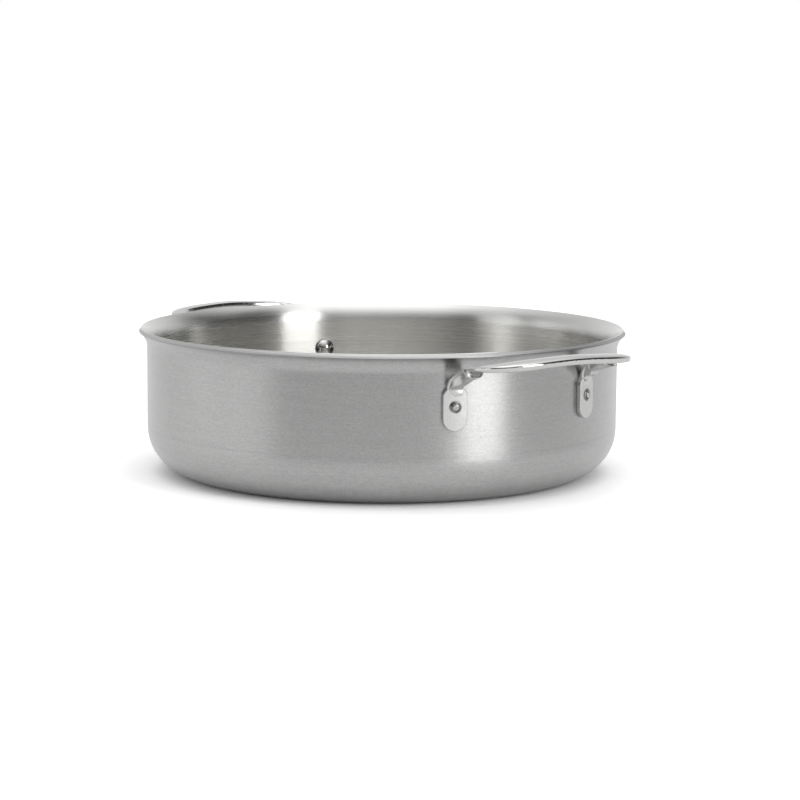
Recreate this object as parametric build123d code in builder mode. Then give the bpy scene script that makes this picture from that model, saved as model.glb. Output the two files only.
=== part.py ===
from build123d import *
import os
from math import asin, atan, cos, degrees, pi, radians, sin, sqrt, tan

# A 30 cm braiser: a straight-sided pan of clad sheet with a flared pouring rim, and two cast
# loop handles, each held by two rivets. Millimetres, +Z up, the centre of the base at the
# origin and the handles on the X axis.

# Clad sheet, from the outside in: magnetic steel, aluminium, stainless steel
outer_ply_thickness = 0.6
core_thickness = 2.1
inner_ply_thickness = 0.5
core_recess = 0.12
rim_edge_radius = 0.2

# Pan, measured on the outside of its wall
wall_radius = 153.8
pan_height = 94.5
corner_radius = 30.0
flare_radius = 12.2
flare_turn = 55.0

# Rivets, set below the rim: a domed head inside the pan, a flattened tail with a small
# button outside
rivet_drop = 32.1
rivet_spacing = 99.8
shank_diameter = 5.0
shank_clearance = 0.05
head_diameter = 12.0
head_height = 4.2
tail_diameter = 7.2
tail_height = 0.45
tail_edge_radius = 0.3
tail_clearance = 0.3
button_diameter = 4.4
button_height = 1.1
button_edge_radius = 0.8

# Handle pads, which lie on the wall; heights are above or below the rivet
pad_thickness = 3.0
pad_width = 15.0
pad_drop = 14.6
pad_shoulder_rise = 6.5
pad_top_rise = 13.0
pad_top_share = 0.9
pad_edge_radius = 0.5
pad_back_radius = 0.4
tail_seat_depth = 0.7

# Section of the bar where it leaves the pad, and where the hand grips it
strap_width = 10.6
strap_edge = 2.3
strap_crown = 0.35
strap_belly = 0.45
strap_clearance = 0.25
grip_width = 11.0
grip_edge = 3.4
grip_crown = 1.0
grip_belly = 1.0
grip_tilt = 6.0
bar_edge_share = 0.45
root_share = 0.7

# Centre line of the bar: up from the pad, a tight bend, a long bend, then round the loop,
# whose middle overhangs the wall
root_rise = 6.0
neck_rise = 10.1
neck_radius = 10.2
neck_turn = 56.0
arm_run_share = 0.74
arm_turn = 26.8
loop_corner_radius = 16.0
bow_radius = 160.0
bow_arch = 1.6
loop_overhang = 40.7

# Where the bar's sections stand along each stretch, and how far each has turned from strap
# to grip
neck_shares = (0, 1 / 3, 2 / 3, 1)
arm_shares = (1 / 2, 1)
turn_shares = (0, 1 / 3, 2 / 3, 1)
turn_blend_shares = (0.3, 0.55, 0.8, 1)
bow_shares = (1 / 2, 1)

# Stiffening rib on the hollow side of each neck, which runs out under the arm
rib_width = 8.6
rib_depth = 4.2
rib_round_share = 0.35
rib_growth_shares = (0.1, 0.55, 0.9, 1, 1, 0.6)

# One overrun for all cuts
overrun = 2.0

# What follows from the sizes above
sheet_thickness = outer_ply_thickness + core_thickness + inner_ply_thickness
inner_radius = wall_radius - sheet_thickness
rivet_height = pan_height - rivet_drop
loop_reach = wall_radius + loop_overhang
flare_start = pan_height - (flare_radius + sheet_thickness) * sin(radians(flare_turn))
pad_radius = wall_radius + pad_thickness
rivet_azimuth = degrees(asin(rivet_spacing / 2 / wall_radius))
strap_back = strap_clearance + strap_crown + strap_edge / 2
cut_length = wall_radius + pad_thickness + overrun

os.makedirs("parts", exist_ok=True)


def radial_plane(azimuth):
    """Plane on the pan's axis at rivet height, facing out at this azimuth, with +Z as its y."""
    angle = radians(azimuth)
    outward = Vector(cos(angle), sin(angle), 0)
    sideways = Vector(-sin(angle), cos(angle), 0)
    return Plane(origin=(0, 0, rivet_height), x_dir=sideways, z_dir=outward)


def sheet_surface(depth, recess=0):
    """Draw the surface at this depth in the sheet, from the axis to the rim; return its ends."""
    turn = flare_turn - degrees(recess / (flare_radius + depth))
    bend = (wall_radius - corner_radius, corner_radius)
    base = Line((0, depth), (wall_radius - corner_radius, depth))
    corner = CenterArc(bend, corner_radius - depth, -90, 90)
    wall = Line(corner @ 1, (wall_radius - depth, flare_start))
    rolled = (wall_radius + flare_radius, flare_start)
    flare = CenterArc(rolled, flare_radius + depth, 180, -turn)
    return base @ 0, flare @ 1


rivet_azimuths = (-rivet_azimuth, rivet_azimuth, 180 - rivet_azimuth, 180 + rivet_azimuth)

# The three bonded plies, face to face: brushed steel outside, aluminium worn a little below
# the steel where the rim was cut, and the steel cooking surface
core_depth = outer_ply_thickness
inner_ply_depth = outer_ply_thickness + core_thickness
plies = (
    ("outer_steel_ply", 0, core_depth, 0),
    ("aluminium_core", core_depth, inner_ply_depth, core_recess),
    ("inner_steel_ply", inner_ply_depth, sheet_thickness, 0),
)
for name, outer_depth, inner_depth, recess in plies:
    with BuildPart() as ply:
        with BuildSketch(Plane.XZ) as profile:
            with BuildLine():
                outer_start, outer_end = sheet_surface(outer_depth, recess)
                inner_start, inner_end = sheet_surface(inner_depth, recess)
                Line(outer_start, inner_start)
                Line(outer_end, inner_end)
            make_face()
            if outer_depth == 0:
                fillet(profile.vertices().sort_by(Axis.X)[-1], radius=rim_edge_radius)
            if inner_depth == sheet_thickness:
                fillet(profile.vertices().sort_by(Axis.Y)[-1], radius=rim_edge_radius)
        revolve(axis=Axis.Z)
        for azimuth in rivet_azimuths:
            with BuildSketch(radial_plane(azimuth)):
                Circle(shank_diameter / 2 + shank_clearance)
            extrude(amount=cut_length, mode=Mode.SUBTRACT)
    ply.part.label = name
    export_step(ply.part, f"parts/{name}.step")


def between(strap_value, grip_value, blend):
    """Size of the bar's section part of the way from strap to grip."""
    return strap_value + (grip_value - strap_value) * blend


def bar_plane(place, heading, climb, tilt):
    """Plane across the bar: x to the outside of the loop, y to its top, z along the bar."""
    turned = radians(heading)
    risen = radians(climb)
    leaned = radians(tilt)
    along = Vector(cos(turned) * cos(risen), sin(turned) * cos(risen), sin(risen))
    across = Vector(-sin(turned), cos(turned), 0)
    upward = along.cross(across)
    leaning = across * cos(leaned) - upward * sin(leaned)
    return Plane(origin=place, x_dir=leaning, z_dir=along)


def bar_stations():
    """Walk the bar from a pad to the middle of the grip: place, heading, climb, blend.

    The arms climb at a steady slope, and the grip arches above that slope in one wave.
    """
    pad_angle = radians(rivet_azimuth)
    foot = wall_radius + strap_back
    foot_x = foot * cos(pad_angle)
    foot_y = foot * sin(pad_angle)
    foot_z = rivet_height + neck_rise
    stations = [((foot_x, foot_y, rivet_height + root_rise), rivet_azimuth, 90, 0)]
    for share in neck_shares:
        climb = 90 - neck_turn * share
        heading = rivet_azimuth * (1 - share)
        out = neck_radius * (1 - sin(radians(climb)))
        x = foot_x + out * cos(radians(heading))
        y = foot_y + out * sin(radians(heading))
        z = foot_z + neck_radius * cos(radians(climb))
        stations.append(((x, y, z), heading, climb, 0))
    neck_x, neck_y, neck_z = x, y, z
    corner_y = neck_y - loop_corner_radius
    bow_x = loop_reach - bow_radius
    corner_x = bow_x + sqrt((bow_radius - loop_corner_radius) ** 2 - corner_y**2)
    bow_angle = degrees(asin(corner_y / (bow_radius - loop_corner_radius)))
    neck_climb = radians(climb)
    arm_climb = radians(climb - arm_turn)
    arm_radius = arm_run_share * (corner_x - neck_x) / (sin(neck_climb) - sin(arm_climb))
    for share in arm_shares:
        climb = 90 - neck_turn - arm_turn * share
        x = neck_x + arm_radius * (sin(neck_climb) - sin(radians(climb)))
        z = neck_z + arm_radius * (cos(radians(climb)) - cos(neck_climb))
        stations.append(((x, neck_y, z), 0, climb, 0))
    arm_x, arm_z = x, z
    slope = tan(arm_climb)
    loop = []
    for share, blend in zip(turn_shares, turn_blend_shares):
        angle = radians((90 - bow_angle) * share)
        x = corner_x + loop_corner_radius * sin(angle)
        y = corner_y + loop_corner_radius * cos(angle)
        loop.append((x, y, -angle, blend))
    for share in bow_shares:
        angle = radians(bow_angle * (1 - share))
        x = bow_x + bow_radius * cos(angle)
        y = bow_radius * sin(angle)
        loop.append((x, y, angle - pi / 2, 1))
    for x, y, heading, blend in loop:
        swing = pi * y / neck_y
        arch = bow_arch * (1 + cos(swing)) / 2
        arch_slope = -bow_arch * pi * sin(swing) / (2 * neck_y)
        z = arm_z + (x - arm_x) * slope + arch
        climb = degrees(atan(slope * cos(heading) + arch_slope * sin(heading)))
        stations.append(((x, y, z), degrees(heading), climb, blend))
    return stations


def mirrored(station):
    """The same station on the other half of the loop, walked back towards the pad."""
    (x, y, z), heading, climb, blend = station
    return (x, -y, z), 180 - heading, -climb, blend


def bar_section(station, share=1):
    """Sketch the bar at a station: flat sides, a crowned top and a shallower belly."""
    place, heading, climb, blend = station
    half = between(strap_width, grip_width, blend) / 2 * share
    edge = between(strap_edge, grip_edge, blend) / 2 * share
    crown = edge + between(strap_crown, grip_crown, blend) * share
    belly = edge + between(strap_belly, grip_belly, blend) * share
    with BuildSketch(bar_plane(place, heading, climb, grip_tilt * blend)) as section:
        with BuildLine():
            ThreePointArc((-half, edge), (0, crown), (half, edge))
            Line((half, edge), (half, -edge))
            ThreePointArc((half, -edge), (0, -belly), (-half, -edge))
            Line((-half, -edge), (-half, edge))
        make_face()
        fillet(section.vertices(), radius=2 * edge * bar_edge_share)
    return section.sketch


def rib_section(station, growth):
    """Sketch the rib at a station, from the middle of the strap to its own crest."""
    place, heading, climb, blend = station
    crest = strap_edge / 2 + strap_belly + rib_depth * growth
    with BuildSketch(bar_plane(place, heading, climb, 0)) as section:
        with Locations((0, -crest / 2)):
            Rectangle(rib_width, crest)
        lower = section.vertices().group_by(Axis.Y)[0]
        fillet(lower, radius=crest * rib_round_share)
    return section.sketch


half_walk = bar_stations()
other_half_walk = [mirrored(station) for station in reversed(half_walk[:-1])]
rib_walk = half_walk[1 : 1 + len(rib_growth_shares)]

# The handle's two pads, curved to the wall and drilled, with a seat for each rivet's tail
with BuildPart() as pads:
    for azimuth in (-rivet_azimuth, rivet_azimuth):
        with BuildSketch(radial_plane(azimuth)) as pad_outline:
            with BuildLine():
                half = pad_width / 2
                neck_half = strap_width / 2 * pad_top_share
                side = Line((half, half - pad_drop), (half, pad_shoulder_rise))
                shoulder_end = (neck_half, pad_top_rise)
                Spline(side @ 1, shoulder_end, tangents=((0, 1), (0, 1)))
                Line(shoulder_end, (0, pad_top_rise))
                JernArc(side @ 0, (0, -1), half, -90)
                mirror(about=Plane.YZ)
            make_face()
        extrude(amount=cut_length)
    with BuildSketch(Plane.XY):
        Circle(pad_radius)
        Circle(wall_radius, mode=Mode.SUBTRACT)
    extrude(amount=pan_height, mode=Mode.INTERSECT)
    curved_faces = pads.faces().filter_by(GeomType.CYLINDER).group_by(SortBy.RADIUS)
    back_edges, front_edges = curved_faces[-2].edges(), curved_faces[-1].edges()
    fillet(front_edges, radius=pad_edge_radius)
    fillet(back_edges, radius=pad_back_radius)
    for azimuth in (-rivet_azimuth, rivet_azimuth):
        with BuildSketch(radial_plane(azimuth)):
            Circle(shank_diameter / 2 + shank_clearance)
        extrude(amount=cut_length, mode=Mode.SUBTRACT)
        with BuildSketch(radial_plane(azimuth).offset(pad_radius - tail_seat_depth)):
            Circle(tail_diameter / 2 + tail_clearance)
        extrude(amount=pad_thickness, mode=Mode.SUBTRACT)

# Loop handle, cast in one piece: the bowed grip, its two ribbed necks and the pads
with BuildPart() as loop_handle:
    bar = [bar_section(half_walk[0], root_share)]
    bar += [bar_section(station) for station in half_walk[1:] + other_half_walk[:-1]]
    bar += [bar_section(other_half_walk[-1], root_share)]
    loft(bar)
    for stations in (rib_walk, [mirrored(station) for station in rib_walk]):
        loft([rib_section(*grown) for grown in zip(stations, rib_growth_shares)])
    add(pads.part)

for name, turn in (("handle_right", 0), ("handle_left", 180)):
    with BuildPart() as handle:
        add(loop_handle.part, rotation=(0, 0, turn))
    handle.part.label = name
    export_step(handle.part, f"parts/{name}.step")

# Rivets: each head is cut to the curve of the wall, each tail sits in its seat on the pad
dome_radius = (head_diameter**2 / 4 + head_height**2) / (2 * head_height)
dome_angle = degrees(asin(head_diameter / 2 / dome_radius))
head_top = inner_radius - head_height
tail_foot = pad_radius - tail_seat_depth
tail_top = pad_radius + tail_height
rivet_names = ("rivet_right_front", "rivet_right_rear", "rivet_left_rear", "rivet_left_front")
for name, azimuth in zip(rivet_names, rivet_azimuths):
    facing = radial_plane(azimuth)
    lengthwise = Plane(origin=facing.origin, x_dir=facing.z_dir, z_dir=facing.x_dir)
    rivet_axis = Axis(facing.origin, facing.z_dir)
    with BuildPart() as rivet:
        with BuildSketch(lengthwise):
            with BuildLine():
                dome = CenterArc((head_top + dome_radius, 0), dome_radius, 180, -dome_angle)
                skirt_end = (inner_radius + overrun, head_diameter / 2)
                Polyline(dome @ 1, skirt_end, (inner_radius + overrun, 0), dome @ 0)
            make_face()
        revolve(axis=rivet_axis)
        with BuildSketch(Plane.XY):
            Circle(cut_length)
            Circle(inner_radius, mode=Mode.SUBTRACT)
        extrude(amount=pan_height, mode=Mode.SUBTRACT)
        with BuildSketch(lengthwise) as tail_profile:
            with Locations((inner_radius - overrun, 0)):
                shank_length = tail_foot - inner_radius + overrun
                Rectangle(shank_length, shank_diameter / 2, align=(Align.MIN, Align.MIN))
            with Locations((tail_foot, 0)):
                Rectangle(tail_top - tail_foot, tail_diameter / 2, align=(Align.MIN, Align.MIN))
            with Locations((tail_top, 0)):
                Rectangle(button_height, button_diameter / 2, align=(Align.MIN, Align.MIN))
            corners = tail_profile.vertices()
            rim = corners.sort_by_distance((tail_top, tail_diameter / 2))[0]
            crown = corners.sort_by_distance((tail_top + button_height, button_diameter / 2))[0]
            fillet(rim, radius=tail_edge_radius)
            fillet(crown, radius=button_edge_radius)
        revolve(axis=rivet_axis)
    rivet.part.label = name
    export_step(rivet.part, f"parts/{name}.step")
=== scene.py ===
# %% [markdown]
# # A stainless braiser: brushed sheet, polished castings
#
# The pan is three bonded sheets spun into one bowl, with a rolled pouring rim. Two cast loops
# are riveted to its wall. The packed CAD model gives every shape and size, and this script
# gives the metal its look. Blender works in metres here, with the pan's base on the floor, the
# centre of the base at the origin and the two handles on the X axis.

import math

import bpy
from mathutils import Matrix, Vector


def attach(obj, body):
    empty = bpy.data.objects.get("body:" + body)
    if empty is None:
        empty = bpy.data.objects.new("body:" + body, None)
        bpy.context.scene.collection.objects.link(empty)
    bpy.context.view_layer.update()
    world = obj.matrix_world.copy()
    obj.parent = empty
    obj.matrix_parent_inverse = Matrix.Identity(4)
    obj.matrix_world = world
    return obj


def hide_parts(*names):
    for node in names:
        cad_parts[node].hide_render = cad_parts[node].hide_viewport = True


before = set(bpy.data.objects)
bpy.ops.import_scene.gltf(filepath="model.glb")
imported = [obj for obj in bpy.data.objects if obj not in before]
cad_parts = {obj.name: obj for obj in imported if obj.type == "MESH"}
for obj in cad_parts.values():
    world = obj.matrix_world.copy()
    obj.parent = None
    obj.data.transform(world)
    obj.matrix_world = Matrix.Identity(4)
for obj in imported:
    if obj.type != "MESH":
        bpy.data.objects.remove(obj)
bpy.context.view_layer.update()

# %% [markdown]
# ## The sizes that the looks need
#
# A spun pan is one profile turned about its axis, so a few lengths describe it. They could be
# read off the packed mesh, but that gives facets and not true arcs, so they repeat the CAD
# model's own values, in metres.

# %% Pan, ply and rivet sizes
MM = 0.001
wall_radius = 153.8 * MM
pan_height = 94.5 * MM
corner_radius = 30.0 * MM
flare_radius = 12.2 * MM
flare_turn = math.radians(55)
outer_ply = 0.6 * MM
core_ply = 2.1 * MM
inner_ply = 0.5 * MM
core_recess = 0.12 * MM
rim_edge = 0.2 * MM
sheet = outer_ply + core_ply + inner_ply
flare_start = pan_height - (flare_radius + sheet) * math.sin(flare_turn)
rivet_height = pan_height - 32.1 * MM
rivet_spacing = 99.8 * MM
pad_radius = wall_radius + 3.0 * MM
print(f"sheet {sheet / MM:.1f} mm, flare starts at {flare_start / MM:.1f} mm")

# %% [markdown]
# ## A short way to write node trees
#
# Every finish below is arithmetic on positions and noise. Written node by node, that is hard to
# read. One small class wraps an output socket, so that `a * b + c` adds the Math nodes. A second
# one wraps the tree, and one method of it makes any other node. The same two classes serve
# shader trees and Geometry Nodes.

# %% Tap: an output socket with operators
class Tap:
    """An output socket. Python's operators on it add Math nodes to its tree."""

    def __init__(self, tree, socket):
        self.tree = tree
        self.socket = socket

    def math(self, operation, *others):
        return self.tree.math(operation, self, *others)

    def __add__(self, other):
        return self.math("ADD", other)

    def __sub__(self, other):
        return self.math("SUBTRACT", other)

    def __rsub__(self, other):
        return self.tree.math("SUBTRACT", other, self)

    def __mul__(self, other):
        return self.math("MULTIPLY", other)

    def __truediv__(self, other):
        return self.math("DIVIDE", other)

    def __rtruediv__(self, other):
        return self.tree.math("DIVIDE", other, self)

    __radd__ = __add__
    __rmul__ = __mul__


print("a Tap takes + - * / and a Math node's own operations")


# %% Tree: one method for every other node
class Tree:
    """A node tree. node() sets a node's settings first, then its sockets."""

    def __init__(self, tree):
        self.tree = tree

    def node(self, kind, settings=None, sockets=None, out=0):
        made = self.tree.nodes.new(kind)
        for name, value in (settings or {}).items():
            if name == "stops":
                self.set_stops(made.color_ramp.elements, value)
            else:
                setattr(made, name, value)
        for name, value in (sockets or {}).items():
            if isinstance(value, Tap):
                self.tree.links.new(value.socket, made.inputs[name])
            else:
                made.inputs[name].default_value = value
        return Tap(self, made.outputs[out]) if len(made.outputs) else None

    def set_stops(self, elements, stops):
        while len(elements) < len(stops):
            elements.new(1)
        for element, (place, grey) in zip(elements, stops):
            element.position = place
            element.color = (grey, grey, grey, 1)

    def math(self, operation, *values):
        return self.node("ShaderNodeMath", {"operation": operation}, dict(enumerate(values)))

    def vector(self, x, y, z):
        return self.node("ShaderNodeCombineXYZ", {}, {"X": x, "Y": y, "Z": z})

    def axes(self, vector):
        made = self.node("ShaderNodeSeparateXYZ", {}, {0: vector}).socket.node
        return [Tap(self, made.outputs[axis]) for axis in "XYZ"]

    def noise(self, vector, detail):
        """Noise about zero, one unit of the vector to a blotch."""
        sockets = {"Vector": vector, "Scale": 1.0, "Detail": detail, "Roughness": 0.5}
        return self.node("ShaderNodeTexNoise", {}, sockets) - 0.5

    def tint(self, amount, low, high):
        """Mix two colours by an amount, with a Mix node that keeps them colours."""
        low, high = (end if isinstance(end, Tap) else (*end, 1) for end in (low, high))
        sockets = {0: amount, 6: low, 7: high}
        return self.node("ShaderNodeMix", {"data_type": "RGBA"}, sockets, out=2)

    def fade(self, value, start, stop, most=1.0, soft=False):
        """Zero up to the start value, and as much as most from the stop value on."""
        settings = {"interpolation_type": "SMOOTHSTEP" if soft else "LINEAR"}
        sockets = {"Value": value, "From Min": start, "From Max": stop, "To Max": most}
        return self.node("ShaderNodeMapRange", settings, sockets)

    def bump(self, height, strength, depth):
        """Tilt the surface as if this height pushed it in and out, by up to a depth."""
        sockets = {"Height": height, "Strength": strength, "Distance": depth}
        return self.node("ShaderNodeBump", {}, sockets)


print("node helpers:", [name for name in vars(Tree) if not name.startswith("_")])

# %% [markdown]
# ## Coordinates that follow a spun pan
#
# A pan is brushed while it spins, so its scratches run round the axis. An unwrapped map would
# have a seam somewhere. The direction from the axis gives a place round the pan without one,
# and height less radius gives a place along the profile: it runs evenly up the wall, round the
# corner and in across the base.

# %% Place on a spun surface
ON_THE_AXIS = 1e-9  # added to the squared radius, so that even the axis has a direction


def axis_parts(tree):
    """A point's x and y, its distance from the pan's axis, and its height."""
    x, y, height = tree.axes(tree.node("ShaderNodeTexCoord", out="Object"))
    return x, y, (x * x + y * y + ON_THE_AXIS).math("SQRT"), height


def spun_place(tree):
    """Round-the-pan cosine and sine, and the way along the profile, in metres."""
    x, y, radius, height = axis_parts(tree)
    return x / radius, y / radius, height - radius


print(f"a scratch has {2 * math.pi * wall_radius:.2f} m to run in, once round the wall")

# %% [markdown]
# ## Scratches and blotches
#
# Two kinds of noise serve all the metals. Scratches are noise drawn out round the pan, many
# times longer than wide. Blotches have no direction and do for grain, for the wear of a pad and
# for the slow ripple of a casting. Both are set in real lengths, so each finish can be compared
# with the pan on a bench.

# %% Two kinds of noise
def scratches(tree, place, length, width, detail=2.0):
    """Noise drawn out round the pan: blotches of this length round it and width across it."""
    cosine, sine, along = place
    turn = wall_radius / length
    return tree.noise(tree.vector(cosine * turn, sine * turn, along / width), detail)


def blotches(tree, size, detail=2.0):
    """Noise without a direction, in blotches of this size."""
    position = tree.node("ShaderNodeTexCoord", out="Object")
    settings = {"operation": "SCALE"}
    spread = tree.node("ShaderNodeVectorMath", settings, {0: position, "Scale": 1 / size})
    return tree.noise(spread, detail)


print("two kinds of noise:", scratches.__name__, "and", blotches.__name__)

# %% [markdown]
# ## One shader for every metal
#
# Brushed, cast or turned, each of these metals is bare, so one Principled shader at full
# Metallic serves them all. A separate glossy shader could be mixed over a plain one, but the
# exported model knows only this one. Each recipe below gives a base colour between a dark and
# a light one, a roughness and a bump. In a sum such as `grain * 0.06 + 0.31`, the last number is
# the middle value, and the factor says how strongly the noise pulls at it.

# %% Start and close a finish
ACROSS_THE_LINES = 0.25  # a quarter turn: the smear of a highlight stands upright


def new_finish(name):
    """An empty material and its tree."""
    material = bpy.data.materials.new(name)
    material.use_nodes = True
    material.node_tree.nodes.clear()
    return material, Tree(material.node_tree)


def close_finish(tree, sockets):
    """Put a metal shader with these sockets on the material's output."""
    metal = tree.node("ShaderNodeBsdfPrincipled", {}, {"Metallic": 1.0, **sockets})
    tree.node("ShaderNodeOutputMaterial", {}, {"Surface": metal})


print("highlights smear at", ACROSS_THE_LINES * 360, "degrees to the brushing")

# %% [markdown]
# ## Satin outside
#
# The outside was rubbed with an abrasive pad. It shows short, dense scratches and a fine grain
# that makes the edge of each highlight sparkle. The highlight is soft, and longer up the wall
# than round it. Two scratch scales give the streaks, and a round grain feeds the bump. At the
# trimmed rim, a thin dark line of painted shade is laid on the sheet's lower corner. It is drawn
# by the distance to that corner's circle, because a line by height alone would miss the rim's
# slope.
# The roller left another, fainter line where the wall turns in.

# %% Satin outside
SATIN_DARK, SATIN_LIGHT = (0.39, 0.39, 0.388), (0.515, 0.515, 0.512)
trimmed_radius = wall_radius + flare_radius * (1 - math.cos(flare_turn))
trimmed_height = flare_start + flare_radius * math.sin(flare_turn)
roller_height = corner_radius + 1.5 * MM


def satin_outside():
    material, tree = new_finish("satin_outside")
    place = spun_place(tree)
    _, _, radius, height = axis_parts(tree)
    long_streaks = scratches(tree, place, 34 * MM, 1.2 * MM)
    short_streaks = scratches(tree, place, 4 * MM, 0.6 * MM, detail=3.0)
    grain = blotches(tree, 0.9 * MM, detail=1.0)
    patches = blotches(tree, 60 * MM)
    beyond, above = radius - trimmed_radius, height - trimmed_height
    from_corner = (beyond * beyond + above * above).math("SQRT")
    # Painted shade: a thin dark line painted into the colour at the cut rim's lower corner.
    burnish = tree.fade(from_corner, 0.7 * MM, 0.3 * MM, most=0.7)
    from_roller = (height - roller_height).math("ABSOLUTE")
    roller_line = tree.fade(from_roller, 0.9 * MM, 0.2 * MM, most=0.3)
    shade = short_streaks * 1.1 + long_streaks * 0.5 + grain * 1.5 + patches * 0.4 + 0.5
    # The painted rim shade and the roller line darken the colour here.
    shade = shade - burnish - roller_line * (patches + 0.6)
    relief = short_streaks * 0.6 + long_streaks * 0.3 + grain * 0.8
    close_finish(tree, {
        "Base Color": tree.tint(shade, SATIN_DARK, SATIN_LIGHT),
        "Roughness": short_streaks * 0.10 + grain * 0.06 + patches * 0.05 + 0.31,
        "Normal": tree.bump(relief, 0.28, 0.05 * MM),
        "Anisotropic": 0.71,
        "Anisotropic Rotation": ACROSS_THE_LINES,
    })
    return material


outside_steel = satin_outside()
# The painted shade line of the rim's lower corner sits at this height.
print("finish", outside_steel.name, "burnished at", round(trimmed_height / MM, 1), "mm")

# %% [markdown]
# ## Brushed cooking surface
#
# Inside, a belt left long clean lines round the pan. Such a surface mirrors sharply along the
# lines and smears across them: a lamp becomes a tall band with crisp upright edges. Bump alone
# would need lines finer than a pixel for that. The shader's Anisotropic value does it without,
# and its rotation of a quarter turn sets the smear across the lines. Stainless steel is faintly
# warm, which shows most where it mirrors itself, low in the pan. Up on the rim, where it mirrors
# the white room once, its colour is painted neutral: a painted reflection tint.

# %% Brushed inside
WARM_DARK, WARM_LIGHT = (0.60, 0.595, 0.573), (0.75, 0.745, 0.72)
NEUTRAL = (0.66, 0.66, 0.65)


def brushed_inside():
    material, tree = new_finish("brushed_inside")
    place = spun_place(tree)
    long_lines = scratches(tree, place, 300 * MM, 0.6 * MM, detail=1.0)
    fine_lines = scratches(tree, place, 110 * MM, 0.3 * MM)
    wide_lines = scratches(tree, place, 400 * MM, 5 * MM)
    shade = long_lines * 0.9 + fine_lines * 0.5 + wide_lines * 0.3 + 0.5
    _, _, _, height = axis_parts(tree)
    # Painted reflection tint: up on the rim the colour is set neutral, for the white room it
    # mirrors.
    rim_painted_neutral = tree.fade(height, flare_start - 4 * MM, flare_start + 4 * MM, soft=True)
    relief = long_lines * 0.7 + fine_lines * 0.4
    close_finish(tree, {
        "Base Color": tree.tint(rim_painted_neutral, tree.tint(shade, WARM_DARK, WARM_LIGHT), NEUTRAL),
        "Roughness": long_lines * 0.06 + fine_lines * 0.04 + 0.26,
        "Normal": tree.bump(relief, 0.03, 0.04 * MM),
        "Anisotropic": 1.0,
        "Anisotropic Rotation": ACROSS_THE_LINES,
    })
    return material


inside_steel = brushed_inside()
print("finish", inside_steel.name, "turns neutral at", round(flare_start / MM, 1), "mm")

# %% [markdown]
# ## Cut aluminium
#
# At the rim the sheet was trimmed on a lathe, so the aluminium core shows as a band between two
# steel edges. A dark line painted on the steel could stand for it, but the core is a piece of
# its own here, so its edge takes its own finish. Fine ridges run round it, and it is a little
# duller and bluer than the steel.

# %% Cut core
CORE_DARK, CORE_LIGHT = (0.43, 0.43, 0.432), (0.65, 0.65, 0.65)


def turned_core():
    material, tree = new_finish("turned_core")
    place = spun_place(tree)
    ridges = scratches(tree, place, 30 * MM, 0.12 * MM)
    chatter = scratches(tree, place, 1.4 * MM, 0.9 * MM, detail=1.0)
    close_finish(tree, {
        "Base Color": tree.tint(ridges * 0.5 + chatter * 0.6 + 0.5, CORE_DARK, CORE_LIGHT),
        "Roughness": ridges * 0.08 + chatter * 0.08 + 0.48,
        "Normal": tree.bump(ridges + chatter, 0.25, 0.05 * MM),
    })
    return material


core_metal = turned_core()
print("finish", core_metal.name)

# %% [markdown]
# ## Polished castings
#
# The loops were cast, then tumbled and buffed. A buffing wheel reaches the grip and the arms,
# which are close to a mirror. It doesn't reach their underside, nor the necks and pads beside
# the wall, so these stay satin. One finish covers both: height, distance from the axis and the
# surface's direction tell them apart, and the change stays soft, as a wheel leaves it. A dark
# line is painted where a pad meets the wall: painted shade for the contact shadow. The casting
# is never quite flat either, so a slow ripple bends its reflections a little.

# %% Polished casting
CAST_DARK, CAST_LIGHT = (0.49, 0.49, 0.485), (0.67, 0.67, 0.66)


def polished_casting():
    material, tree = new_finish("polished_casting")
    _, _, radius, height = axis_parts(tree)
    _, _, facing_up = tree.axes(tree.node("ShaderNodeTexCoord", out="Normal"))
    low_down = tree.fade(height, 89 * MM, 81 * MM, soft=True)
    inboard = tree.fade(radius, 188 * MM, 182 * MM, soft=True)
    underside = tree.fade(facing_up, -0.1, -0.4)
    satin = (low_down * inboard).math("MAXIMUM", underside)
    # Painted shade: the casting's colour darkens close to the wall, for the contact shadow there.
    painted_contact_shade = tree.fade(radius, wall_radius + 1.3 * MM, wall_radius + 0.6 * MM, most=2.0)
    ripple = blotches(tree, 7 * MM, detail=1.0)
    grain = blotches(tree, 0.5 * MM)
    shade = satin * grain * 0.6 + ripple * 0.15 + 0.6 - painted_contact_shade
    close_finish(tree, {
        "Base Color": tree.tint(shade, CAST_DARK, CAST_LIGHT),
        "Roughness": satin * 0.22 + satin * grain * 0.12 + grain * 0.02 + 0.07,
        "Normal": tree.bump(ripple + satin * grain * 0.10, 0.25, 0.15 * MM),
    })
    return material


casting_metal = polished_casting()
print("finish", casting_metal.name)

# %% [markdown]
# ## Rivet steel
#
# A rivet is a polished pin whose far end was squeezed flat by a press, which leaves faint rings
# about its axis. Rings would need each rivet's own axis. A fine round grain reads the same at
# this size, and it works for all four rivets at once. The dish round the button is painted
# darker at that distance from the pan's axis: painted shade for the hollow.

# %% Rivet steel
RIVET_DARK, RIVET_LIGHT = (0.24, 0.24, 0.237), (0.70, 0.70, 0.69)


def rivet_steel():
    material, tree = new_finish("rivet_steel")
    grain = blotches(tree, 0.6 * MM)
    _, _, radius, _ = axis_parts(tree)
    # Painted shade: the rivet's colour darkens in the dish round the button, where the hollow is
    # shaded.
    painted_dish_shade = tree.fade(radius, pad_radius + 0.15 * MM, pad_radius - 0.2 * MM)
    outside = radius.math("GREATER_THAN", wall_radius)
    close_finish(tree, {
        "Base Color": tree.tint(grain + 0.5 - painted_dish_shade * outside, RIVET_DARK, RIVET_LIGHT),
        "Roughness": grain * 0.06 + 0.09,
        "Normal": tree.bump(grain, 0.12, 0.05 * MM),
    })
    return material


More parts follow.
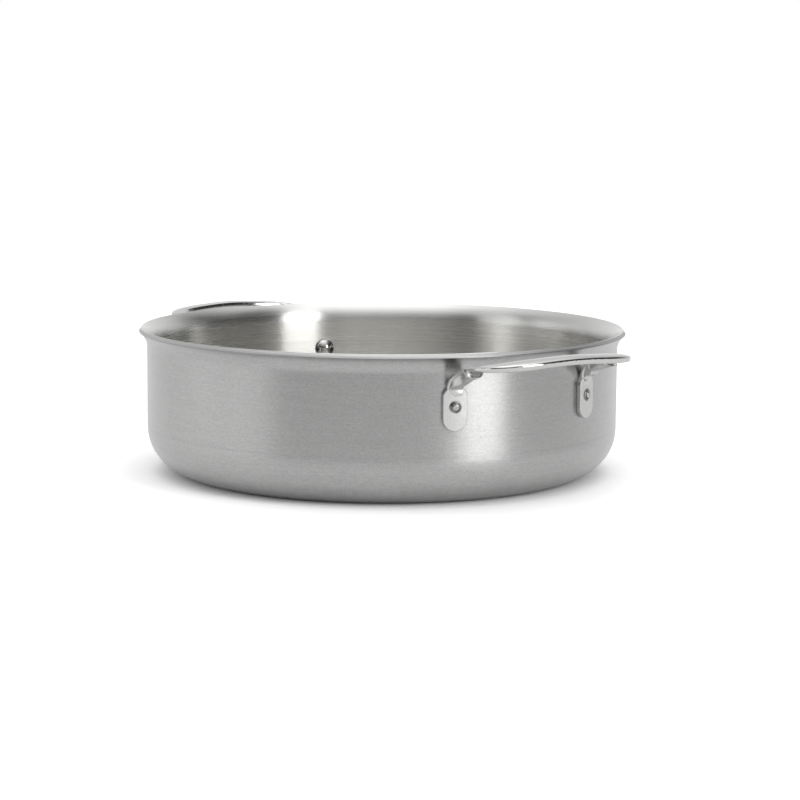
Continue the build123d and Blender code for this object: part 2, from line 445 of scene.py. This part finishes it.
rivet_metal = rivet_steel()
print("finish", rivet_metal.name)

# %% [markdown]
# ## The spun sheet, by Geometry Nodes
#
# Spinning presses a flat disc over a former, so the pan is its profile turned about the axis.
# A Screw modifier would turn it too. A tree is chosen because the rivets are turned shapes as
# well, and another tree can take theirs further. First comes a helper that opens a tree with
# named inputs, and one that closes it.

# %% An empty tree with named inputs
def new_tree(name, inputs):
    """A Geometry Nodes tree, its Tree, and a function that gives a named input."""
    group = bpy.data.node_groups.new(name, "GeometryNodeTree")
    group.interface.new_socket("Geometry", in_out="OUTPUT", socket_type="NodeSocketGeometry")
    group.interface.new_socket("Profile", in_out="INPUT", socket_type="NodeSocketGeometry")
    for label, kind in inputs:
        group.interface.new_socket(label, in_out="INPUT", socket_type=kind)
    tree = Tree(group)
    entry = tree.node("NodeGroupInput").socket.node
    return group, tree, lambda label: Tap(tree, entry.outputs[label])


def finished(tree, shape, metal):
    """End a tree: real geometry in place of instances, in one metal."""
    solid = tree.node("GeometryNodeRealizeInstances", {}, {0: shape})
    coated = tree.node("GeometryNodeSetMaterial", {}, {"Geometry": solid, "Material": metal})
    tree.node("NodeGroupOutput", {}, {0: coated})


print("tree helpers:", new_tree.__name__, "and", finished.__name__)

# %% [markdown]
# ## Turn a row of points
#
# The lathe's work is a rule: each profile point goes round on a circle of its own radius. The
# nodes lay out a grid with one column for each step round the pan and one row for each profile
# point, and look up the radius and height of the row. They then move each grid point to its
# place on the circle. Merging close points shuts the seam and the two poles, so that a turned
# piece is one closed shell. Edges that fold sharply stay hard, and the rest is shaded smooth.

# %% Turn a profile about the axis
SEAM_GAP = 0.002 * MM
HARD_EDGE = math.radians(35)


def turned(tree, profile, steps):
    """Turn a row of points about Z in this many steps; soft faces, hard edges kept."""
    count = tree.node("GeometryNodeAttributeDomainSize", {}, {0: profile})
    grid = tree.node(
        "GeometryNodeMeshGrid", {}, {"Vertices X": steps + 1, "Vertices Y": count}, out="Mesh"
    )
    index = tree.node("GeometryNodeInputIndex")
    column = (index / count).math("FLOOR")
    row = index - column * count
    spot = tree.node("GeometryNodeInputPosition")
    sample = tree.node(
        "GeometryNodeSampleIndex",
        {"data_type": "FLOAT_VECTOR"},
        {"Geometry": profile, "Value": spot, "Index": row},
    )
    radius, _, height = tree.axes(sample)
    angle = column * (2 * math.pi) / steps
    place = tree.vector(radius * angle.math("COSINE"), radius * angle.math("SINE"), height)
    moved = tree.node("GeometryNodeSetPosition", {}, {"Geometry": grid, "Position": place})
    shut = tree.node("GeometryNodeMergeByDistance", {}, {"Geometry": moved, "Distance": SEAM_GAP})
    soft = tree.node("GeometryNodeSetShadeSmooth", {}, {"Geometry": shut, "Shade Smooth": True})
    fold = tree.node("GeometryNodeInputMeshEdgeAngle", out="Unsigned Angle")
    return tree.node(
        "GeometryNodeSetShadeSmooth",
        {"domain": "EDGE"},
        {
            "Geometry": soft,
            "Selection": fold.math("GREATER_THAN", HARD_EDGE),
            "Shade Smooth": False,
        },
    )


print("edges that fold by more than", round(math.degrees(HARD_EDGE)), "degrees stay hard")


# %% Lathe tree
def lathe_tree():
    inputs = [("Steps", "NodeSocketInt"), ("Metal", "NodeSocketMaterial")]
    group, tree, given = new_tree("spun_sheet", inputs)
    finished(tree, turned(tree, given("Profile"), given("Steps")), given("Metal"))
    return group


spun_sheet = lathe_tree()
print("tree", spun_sheet.name, "with", len(spun_sheet.nodes), "nodes")

# %% [markdown]
# ## From a tree to a plain piece
#
# A modifier could stay live on the piece, but an exported model drops instances, so the piece
# is made a mesh. The tree runs once on a helper object, its result is kept as a mesh of its own,
# and the helper goes. A shell that came out inside out is turned.

# %% Run a tree on a row of points
def made_by(tree_group, name, points, values):
    """Run a tree on a row of profile points, and return the result as a plain piece."""
    row = bpy.data.meshes.new(name + "_profile")
    row.from_pydata([(across, 0, up) for across, up in points], [], [])
    holder = bpy.data.objects.new(name + "_profile", row)
    bpy.context.scene.collection.objects.link(holder)
    modifier = holder.modifiers.new("turn", "NODES")
    modifier.node_group = tree_group
    for item in tree_group.interface.items_tree:
        if item.in_out == "INPUT" and item.name in values:
            modifier[item.identifier] = values[item.name]
    bpy.context.view_layer.update()
    ready = holder.evaluated_get(bpy.context.evaluated_depsgraph_get())
    mesh = bpy.data.meshes.new_from_object(ready)
    bpy.data.objects.remove(holder)
    mesh.name = name
    piece = bpy.data.objects.new(name, mesh)
    bpy.context.scene.collection.objects.link(piece)
    outward = sum(face.normal.dot(face.center) * face.area for face in mesh.polygons)
    if outward < 0:
        mesh.flip_normals()
    print(name, len(mesh.polygons), "faces, size", [round(side, 4) for side in piece.dimensions])
    return piece


print("helper", made_by.__name__, "turns a profile into a piece")

# %% [markdown]
# ## The sheet's line
#
# At a given depth in the sheet, the profile is a straight base, an arc round the corner, the
# upright wall and an arc out to the rim. All depths share the arcs' centres, so the three plies
# lie face to face as bonded sheet does.

# %% Line of the sheet at a depth
BASE_STEPS, CORNER_STEPS, WALL_STEPS, FLARE_STEPS = 12, 28, 8, 20


def arc(centre, radius, start, stop, steps):
    """Points along an arc, angles in radians, both ends included."""
    angles = [start + (stop - start) * step / steps for step in range(steps + 1)]
    return [(centre[0] + radius * math.cos(a), centre[1] + radius * math.sin(a)) for a in angles]


def sheet_line(depth, recess=0.0):
    """The sheet's surface at this depth, from the axis to the rim."""
    inset = wall_radius - corner_radius
    base = [(inset * step / BASE_STEPS, depth) for step in range(BASE_STEPS)]
    centre = (inset, corner_radius)
    corner = arc(centre, corner_radius - depth, -math.pi / 2, 0, CORNER_STEPS)
    rise = (flare_start - corner_radius) / WALL_STEPS
    wall = [(wall_radius - depth, corner_radius + rise * step) for step in range(1, WALL_STEPS)]
    turn = flare_turn - recess / (flare_radius + depth)
    rolled = (wall_radius + flare_radius, flare_start)
    flare = arc(rolled, flare_radius + depth, math.pi, math.pi - turn, FLARE_STEPS)
    return base + corner + wall + flare


print("a line has", len(sheet_line(0.0)), "points from the axis to the rim")

# %% [markdown]
# ## The cut edge
#
# A cut edge joins the ends of two lines. Left square, it would glint like paper and not like
# metal. The two edges that a cook could touch are rounded. The core's own edge, which the lathe
# tool left slightly convex, is crowned, so that it catches light from more than one direction.

# %% Rounded and crowned ends
ROUND_STEPS, CROWN_STEPS = 4, 8


def rounded(line, corner_end, far_end):
    """Trim a line's end by the rim's edge radius and curve on to a point on the cut edge."""
    def toward(start, goal):
        gap = math.dist(start, goal)
        return tuple(s + (g - s) * rim_edge / gap for s, g in zip(start, goal))
    first, last = toward(corner_end, line[-2]), toward(corner_end, far_end)
    curve = []
    for step in range(ROUND_STEPS + 1):
        t = step / ROUND_STEPS
        curve.append(tuple((1 - t) ** 2 * a + 2 * t * (1 - t) * b + t * t * c
                           for a, b, c in zip(first, corner_end, last)))
    return line[:-1] + curve


def crowned(start, stop, rise):
    """Points between two ends of a cut edge, which bulges out by this rise."""
    width = math.dist(start, stop)
    across = ((stop[0] - start[0]) / width, (stop[1] - start[1]) / width)
    outward = (across[1], -across[0])
    curve = []
    for step in range(1, CROWN_STEPS):
        t = step / CROWN_STEPS
        bulge = rise * (1 - (2 * t - 1) ** 2)
        curve.append(tuple(a + c * width * t + n * bulge
                           for a, c, n in zip(start, across, outward)))
    return curve


print("edges rounded by", rim_edge / MM, "mm, in", ROUND_STEPS, "steps")


# %% Outline of a ply
def ply_profile(low_depth, high_depth, recess=0.0, round_low=False, round_high=False):
    """A ply's closed outline, from the axis out along one side and back along the other."""
    under = sheet_line(low_depth, recess)
    over = sheet_line(high_depth, recess)
    under_end, over_end = under[-1], over[-1]
    if round_low:
        under = rounded(under, under_end, over_end)
    if round_high:
        over = rounded(over, over_end, under_end)
    crown = crowned(under_end, over_end, recess) if recess else []
    return under + crown + over[::-1]


core_depth = outer_ply + core_ply
core_outline = ply_profile(outer_ply, core_depth, recess=core_recess)
print("the core's outline has", len(core_outline), "points")

# %% [markdown]
# ## The three plies
#
# On the real pan the plies are bonded before spinning and can't be told apart but at the rim.
# Here each is a shell of its own, as in the CAD model, and takes the place of its CAD node.
# With 384 steps round the pan, no facet shows in the outline from close up.

# %% Spin the three plies
PLY_STEPS = 384


def spin_ply(name, node, metal, profile):
    piece = made_by(spun_sheet, name, profile, {"Steps": PLY_STEPS, "Metal": metal})
    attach(piece, "root")
    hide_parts(node)
    return piece


outer_shell = spin_ply(
    "spun_outer_ply", "outer_steel_ply", outside_steel,
    ply_profile(0.0, outer_ply, round_low=True),
)
core_shell = spin_ply("spun_core", "aluminium_core", core_metal, core_outline)
inner_shell = spin_ply(
    "spun_inner_ply", "inner_steel_ply", inside_steel,
    ply_profile(core_depth, sheet, round_high=True),
)

# %% [markdown]
# ## Four rivets from one profile
#
# Each rivet is turned about its own axis: a dome inside the pan, a shank through sheet and pad,
# and a flattened tail outside, with a small button in a shallow dish. The profile follows the
# CAD rivet, with the dish and a slightly wider dome as the photograph shows them.

# %% Rivet profile
DOME_STEPS, RIM_STEPS, DISH_STEPS, BUTTON_STEPS = 20, 6, 8, 10
head_radius, head_height = 7.0 * MM, 4.5 * MM
shank, shank_sink = 2.5 * MM, 0.2 * MM
seat = pad_radius - 0.7 * MM
tail, tail_round = 3.6 * MM, 0.2 * MM
tail_top = pad_radius + 0.45 * MM
button, button_rise, button_round = 2.1 * MM, 1.1 * MM, 0.8 * MM
dish = 0.7 * MM


def domed_head():
    """The head's arc inside the pan, and down past its rim to the shank."""
    inner_wall = wall_radius - sheet
    dome = (head_radius**2 + head_height**2) / (2 * head_height)
    sweep = math.asin(head_radius / dome) / DOME_STEPS
    top = inner_wall - head_height
    points = [(dome * math.sin(sweep * step), top + dome * (1 - math.cos(sweep * step)))
              for step in range(DOME_STEPS + 1)]
    foot = inner_wall + shank_sink
    return points + [(head_radius, foot), (shank, foot), (shank, seat)]


def flattened_tail():
    """The tail's rim, the dish inside it, and the button to its middle."""
    quarter = math.pi / 2
    rim_centre = (tail - tail_round, tail_top - tail_round)
    points = [(tail, seat)] + arc(rim_centre, tail_round, 0, quarter, RIM_STEPS)
    dish_width = tail - 2 * tail_round - button
    for step in range(1, DISH_STEPS):
        swing = math.pi * step / DISH_STEPS
        across = button + dish_width * (1 + math.cos(swing)) / 2
        points.append((across, tail_top - dish * math.sin(swing)))
    crown = tail_top + button_rise
    top_centre = (button - button_round, crown - button_round)
    points.append((button, tail_top))
    return points + arc(top_centre, button_round, 0, quarter, BUTTON_STEPS) + [(0.0, crown)]


rivet_profile = domed_head() + flattened_tail()
rivet_length = rivet_profile[-1][1] - rivet_profile[0][1]
print(f"a rivet is {rivet_length / MM:.1f} mm long, from {len(rivet_profile)} points")

# %% [markdown]
# ## Set the rivets
#
# Four copies could be placed by hand, one list of positions each. The second tree turns the
# profile once, lays it on its side and places it by a rule: two to each handle, the same angle
# to either side of it. A change of spacing then moves all four.

# %% Rivet tree
RIVET_STEPS = 64


def rivet_tree():
    inputs = [
        ("Steps", "NodeSocketInt"),
        ("Height", "NodeSocketFloat"),
        ("Azimuth", "NodeSocketFloat"),
        ("Metal", "NodeSocketMaterial"),
    ]
    group, tree, given = new_tree("rivet_set", inputs)
    upright = turned(tree, given("Profile"), given("Steps"))
    lying = tree.node(
        "GeometryNodeTransform", {}, {"Geometry": upright, "Rotation": (0, math.pi / 2, 0)}
    )
    spots = tree.node("GeometryNodeMeshLine", {}, {"Count": 4, "Offset": (0, 0, 0)})
    lift = tree.vector(0, 0, given("Height"))
    risen = tree.node("GeometryNodeSetPosition", {}, {"Geometry": spots, "Offset": lift})
    index = tree.node("GeometryNodeInputIndex")
    side = (index / 2).math("FLOOR")
    mirror = (index - side * 2) * 2 - 1
    facing = side * math.pi + mirror * given("Azimuth")
    placed = tree.node(
        "GeometryNodeInstanceOnPoints",
        {},
        {"Points": risen, "Instance": lying, "Rotation": tree.vector(0, 0, facing)},
    )
    finished(tree, placed, given("Metal"))
    return group


rivet_azimuth = math.asin(rivet_spacing / 2 / wall_radius)
rivets = made_by(rivet_tree(), "rivets", rivet_profile, {
    "Steps": RIVET_STEPS, "Height": rivet_height, "Azimuth": rivet_azimuth, "Metal": rivet_metal,
})
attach(rivets, "root")
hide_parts("rivet_right_front", "rivet_right_rear", "rivet_left_front", "rivet_left_rear")

# %% [markdown]
# ## The castings
#
# Each loop is one casting: two pads, two ribbed necks and a bowed grip. A handle's shape is
# exact in the CAD model, with its surface directions kept in the mesh, and nothing repeats in
# it, so the loops stay as they are and only take their finish.

# %% Dress the handles
for name in ("handle_right", "handle_left"):
    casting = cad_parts[name]
    casting.data.materials.clear()
    casting.data.materials.append(casting_metal)
    print(name, len(casting.data.polygons), "faces take", casting_metal.name)

# %% [markdown]
# ## A white floor that keeps the shadow
#
# A product photographer's table is lit until it turns white, yet the contact shadow stays. More
# light would do that here too, but it would wash out the pan. Instead the floor's colour rises
# for what the camera sees. In the metal the table also shows some light of its own, except
# close under the pan, where it keeps the dark line of the contact shadow. The light it throws
# on the pan stays that of a plain pale board.

# %% Floor
BOARD = 0.86  # how pale the board is
SEEN_WHITER = 0.43  # added to it for the camera
GLOW, GLOW_SHARE = 0.95, 0.65  # how bright the mirrored table is, and its share
SHADE_ENDS, CLEAR_FROM = 0.125, 0.17  # metres from the axis
FLOOR_REACH = 6.0


def pale_floor():
    material, tree = new_finish("pale_floor")
    path = tree.node("ShaderNodeLightPath").socket.node
    seen, glossy, through = (
        Tap(tree, path.outputs[f"Is {kind} Ray"]) for kind in ("Camera", "Glossy", "Transmission")
    )
    grey = seen * SEEN_WHITER + BOARD
    colour = tree.node("ShaderNodeCombineColor", {}, {"Red": grey, "Green": grey, "Blue": grey})
    matte = tree.node("ShaderNodeBsdfDiffuse", {}, {"Color": colour})
    glow = tree.node("ShaderNodeEmission", {}, {"Color": (1, 1, 1, 1), "Strength": GLOW})
    _, _, radius, _ = axis_parts(tree)
    clear_of_pan = tree.fade(radius, SHADE_ENDS, CLEAR_FROM, soft=True)
    share = glossy.math("MAXIMUM", through) * clear_of_pan * GLOW_SHARE
    board = tree.node("ShaderNodeMixShader", {}, {0: share, 1: matte, 2: glow})
    tree.node("ShaderNodeOutputMaterial", {}, {"Surface": board})
    return material


def lay_floor(reach):
    corners = [(-reach, -reach, 0), (reach, -reach, 0), (reach, reach, 0), (-reach, reach, 0)]
    mesh = bpy.data.meshes.new("floor")
    mesh.from_pydata(corners, [], [(0, 1, 2, 3)])
    mesh.materials.append(pale_floor())
    floor = bpy.data.objects.new("floor", mesh)
    bpy.context.scene.collection.objects.link(floor)
    return floor


floor = lay_floor(FLOOR_REACH)
print("floor", floor.dimensions[0], "m across")

# %% [markdown]
# ## The camera
#
# A camera could be placed by eye, but then no edge would lie quite where the photograph has it.
# Fitting the pan's circles, its base line and the rivets gave this one: a long lens one and a
# half metres away, eight degrees above the table.

# %% Camera
camera_place = Vector((1.2022, -0.8436, 0.2516))
camera_aim = Vector((0.00688, 0.00964, 0.04534))
camera_roll = math.radians(0.433)
focal_length = 101.16


def fitted_camera():
    back = (camera_place - camera_aim).normalized()
    level = Vector((0, 0, 1)).cross(back).normalized()
    upright = back.cross(level)
    right = math.cos(camera_roll) * level + math.sin(camera_roll) * upright
    above = math.cos(camera_roll) * upright - math.sin(camera_roll) * level
    lens = bpy.data.cameras.new("camera")
    lens.sensor_width = 36.0
    lens.lens = focal_length
    lens.clip_start = 0.05
    lens.clip_end = 50.0
    camera = bpy.data.objects.new("camera", lens)
    axes = Matrix((right, above, back)).transposed().to_4x4()
    camera.matrix_world = Matrix.Translation(camera_place) @ axes
    bpy.context.scene.collection.objects.link(camera)
    return camera


bpy.context.scene.camera = fitted_camera()
print("camera", round((camera_place - camera_aim).length, 3), "m from its aim")

# %% [markdown]
# ## The studio
#
# Metal shows the room more than itself, so the room is half of a metal finish. This one is a
# dark studio with a bright ceiling, a low reflector at the left and a white wall behind the
# pan. Panels could stand round the table, but each would need its own place and size. Here the
# world itself is brighter in some directions than in others. Each row below lists how bright
# it is, in degrees from the camera and growing towards the right, so that the list reads like
# a walk round the table. The ceiling has its own row, since it is dimmer over the dark right
# side.

# %% Studio walls and ceiling
LOW_WALLS = [
    (-180, 0.9), (-152, 0.9), (-130, 0.8), (-110, 1.0), (-92, 1.6), (-82, 1.0), (-76, 1.5),
    (-56, 1.15), (-50, 0.04), (0, 0.03), (29, 0.1), (32, 0.7), (35, 0.8), (37, 0.2),
    (66, 0.04), (98, 0.04), (112, 0.3), (130, 0.8), (152, 0.9), (180, 0.9),
]
HIGH_WALLS = [
    (-180, 0.8), (-152, 0.8), (-128, 0.6), (-100, 0.25), (-84, 0.05), (-76, 1.0), (-56, 0.4),
    (-48, 0.05), (-30, 0.4), (0, 0.6), (20, 0.65), (34, 0.3), (37, 0.5), (57, 0.5), (60, 0.03),
    (128, 0.1), (152, 0.7), (180, 0.8),
]
CEILING = [
    (-180, 1.2), (-100, 1.1), (-83, 0.65), (-69, 0.75), (-57, 1.0), (-45, 1.18), (56, 1.25),
    (63, 0.85), (76, 0.5), (91, 0.15), (99, 0.4), (108, 1.1), (180, 1.2),
]
ZENITH = 2.0
LOW_TO_HIGH, HIGH_TO_CEILING, CEILING_TO_ZENITH = (12, 30), (32, 55), (55, 75)
print("studio:", len(LOW_WALLS), "low stops,", len(HIGH_WALLS), "high stops")

# %% [markdown]
# ## The room as a world
#
# A picture of a real studio is the usual way to do this. The rows do it without a picture, and
# each can be changed by a word. A direction has a turn about the table and an elevation. A
# colour ramp bent into a ring gives a row's brightness by the turn, and the elevation blends
# the low row into the high one, then into the ceiling and its bright middle. What the camera
# sees directly is plain white.

# %% The room as a world
camera_side = camera_place.xy.normalized()
camera_aside = Vector((-camera_side.y, camera_side.x))


def round_the_room(tree, turn, levels):
    """Brightness by direction: a colour ramp bent into a ring, scaled back to its levels."""
    peak = max(level for _, level in levels)
    stops = [((degrees + 180) / 360, level / peak) for degrees, level in levels]
    return tree.node("ShaderNodeValToRGB", {"stops": stops}, {0: turn}) * peak


def room_level(tree):
    """How bright the room is in a direction, from the three rows and the zenith."""
    x, y, z = tree.axes(tree.node("ShaderNodeTexCoord", out="Generated"))
    ahead = x * camera_side.x + y * camera_side.y
    aside = x * camera_aside.x + y * camera_aside.y
    turn = aside.math("ARCTAN2", ahead) / (2 * math.pi) + 0.5
    elevation = z.math("ARCSINE") * math.degrees(1)
    off_low = tree.fade(elevation, *LOW_TO_HIGH)
    off_high = tree.fade(elevation, *HIGH_TO_CEILING)
    overhead = tree.fade(elevation, *CEILING_TO_ZENITH)
    low = round_the_room(tree, turn, LOW_WALLS)
    high = round_the_room(tree, turn, HIGH_WALLS)
    ceiling = round_the_room(tree, turn, CEILING) * (1 - overhead) + overhead * ZENITH
    return low * (1 - off_low) + high * (off_low - off_high) + off_high * ceiling


def studio():
    world = bpy.data.worlds.new("studio")
    bpy.context.scene.world = world
    world.use_nodes = True
    world.node_tree.nodes.clear()
    tree = Tree(world.node_tree)
    white = (1, 1, 1, 1)
    room = tree.node("ShaderNodeBackground", {}, {"Strength": room_level(tree), "Color": white})
    backdrop = tree.node("ShaderNodeBackground", {}, {"Strength": 1.0, "Color": white})
    seen = tree.node("ShaderNodeLightPath", out="Is Camera Ray")
    shown = tree.node("ShaderNodeMixShader", {}, {0: seen, 1: room, 2: backdrop})
    tree.node("ShaderNodeOutputWorld", {}, {"Surface": shown})
    return world


print("world", studio().name, "with", len(bpy.context.scene.world.node_tree.nodes), "nodes")

# %% [markdown]
# ## One tall soft lamp
#
# The bright band on the wall and the one inside the pan mirror the same lamp from two places.
# Lines drawn from both bands meet where the lamp's upright edges stand: less than two metres
# away, to the right of the camera. In the world it would be endlessly far off, and the two
# bands would drift apart. As an area light this near, it slides along the metal as a real one
# does. It stands tall, so that the band inside the pan runs on over the rim.

# %% Soft lamp
lamp_left = Vector((1.411, 1.036))
lamp_right = Vector((0.915, 1.395))
lamp_top = 1.25
lamp_level = 3.7


def soft_lamp():
    """An upright soft lamp between two spots, given as (towards, aside) of the camera."""
    ends = [camera_side * spot.x + camera_aside * spot.y for spot in (lamp_left, lamp_right)]
    middle = (ends[0] + ends[1]) / 2
    width = (ends[1] - ends[0]).length
    light = bpy.data.lights.new("soft_lamp", "AREA")
    light.shape = "RECTANGLE"
    light.size = width
    light.size_y = lamp_top
    light.energy = lamp_level * 4 * width * lamp_top
    lamp = bpy.data.objects.new("soft_lamp", light)
    lamp.visible_camera = False
    across = ((ends[1] - ends[0]) / width).to_3d()
    upward = Vector((0, 0, 1))
    axes = Matrix((across, upward, across.cross(upward))).transposed().to_4x4()
    lamp.matrix_world = Matrix.Translation((middle.x, middle.y, lamp_top / 2)) @ axes
    bpy.context.scene.collection.objects.link(lamp)
    return lamp


lamp = soft_lamp()
shines = -lamp.matrix_world.col[2].to_3d()
print("lamp stands", round(lamp.location.xy.length, 2), "m off, shines inward:",
      shines.dot(lamp.matrix_world.translation) < 0)

# %% [markdown]
# ## Colours as written
#
# A film-like view transform flatters a bright scene, but it shifts every grey. The standard one
# shows a colour as it is written, so that a finish looks right under other light too.

# %% Colours as written
bpy.context.scene.view_settings.view_transform = "Standard"
print("view", bpy.context.scene.view_settings.view_transform)

# %% [markdown]
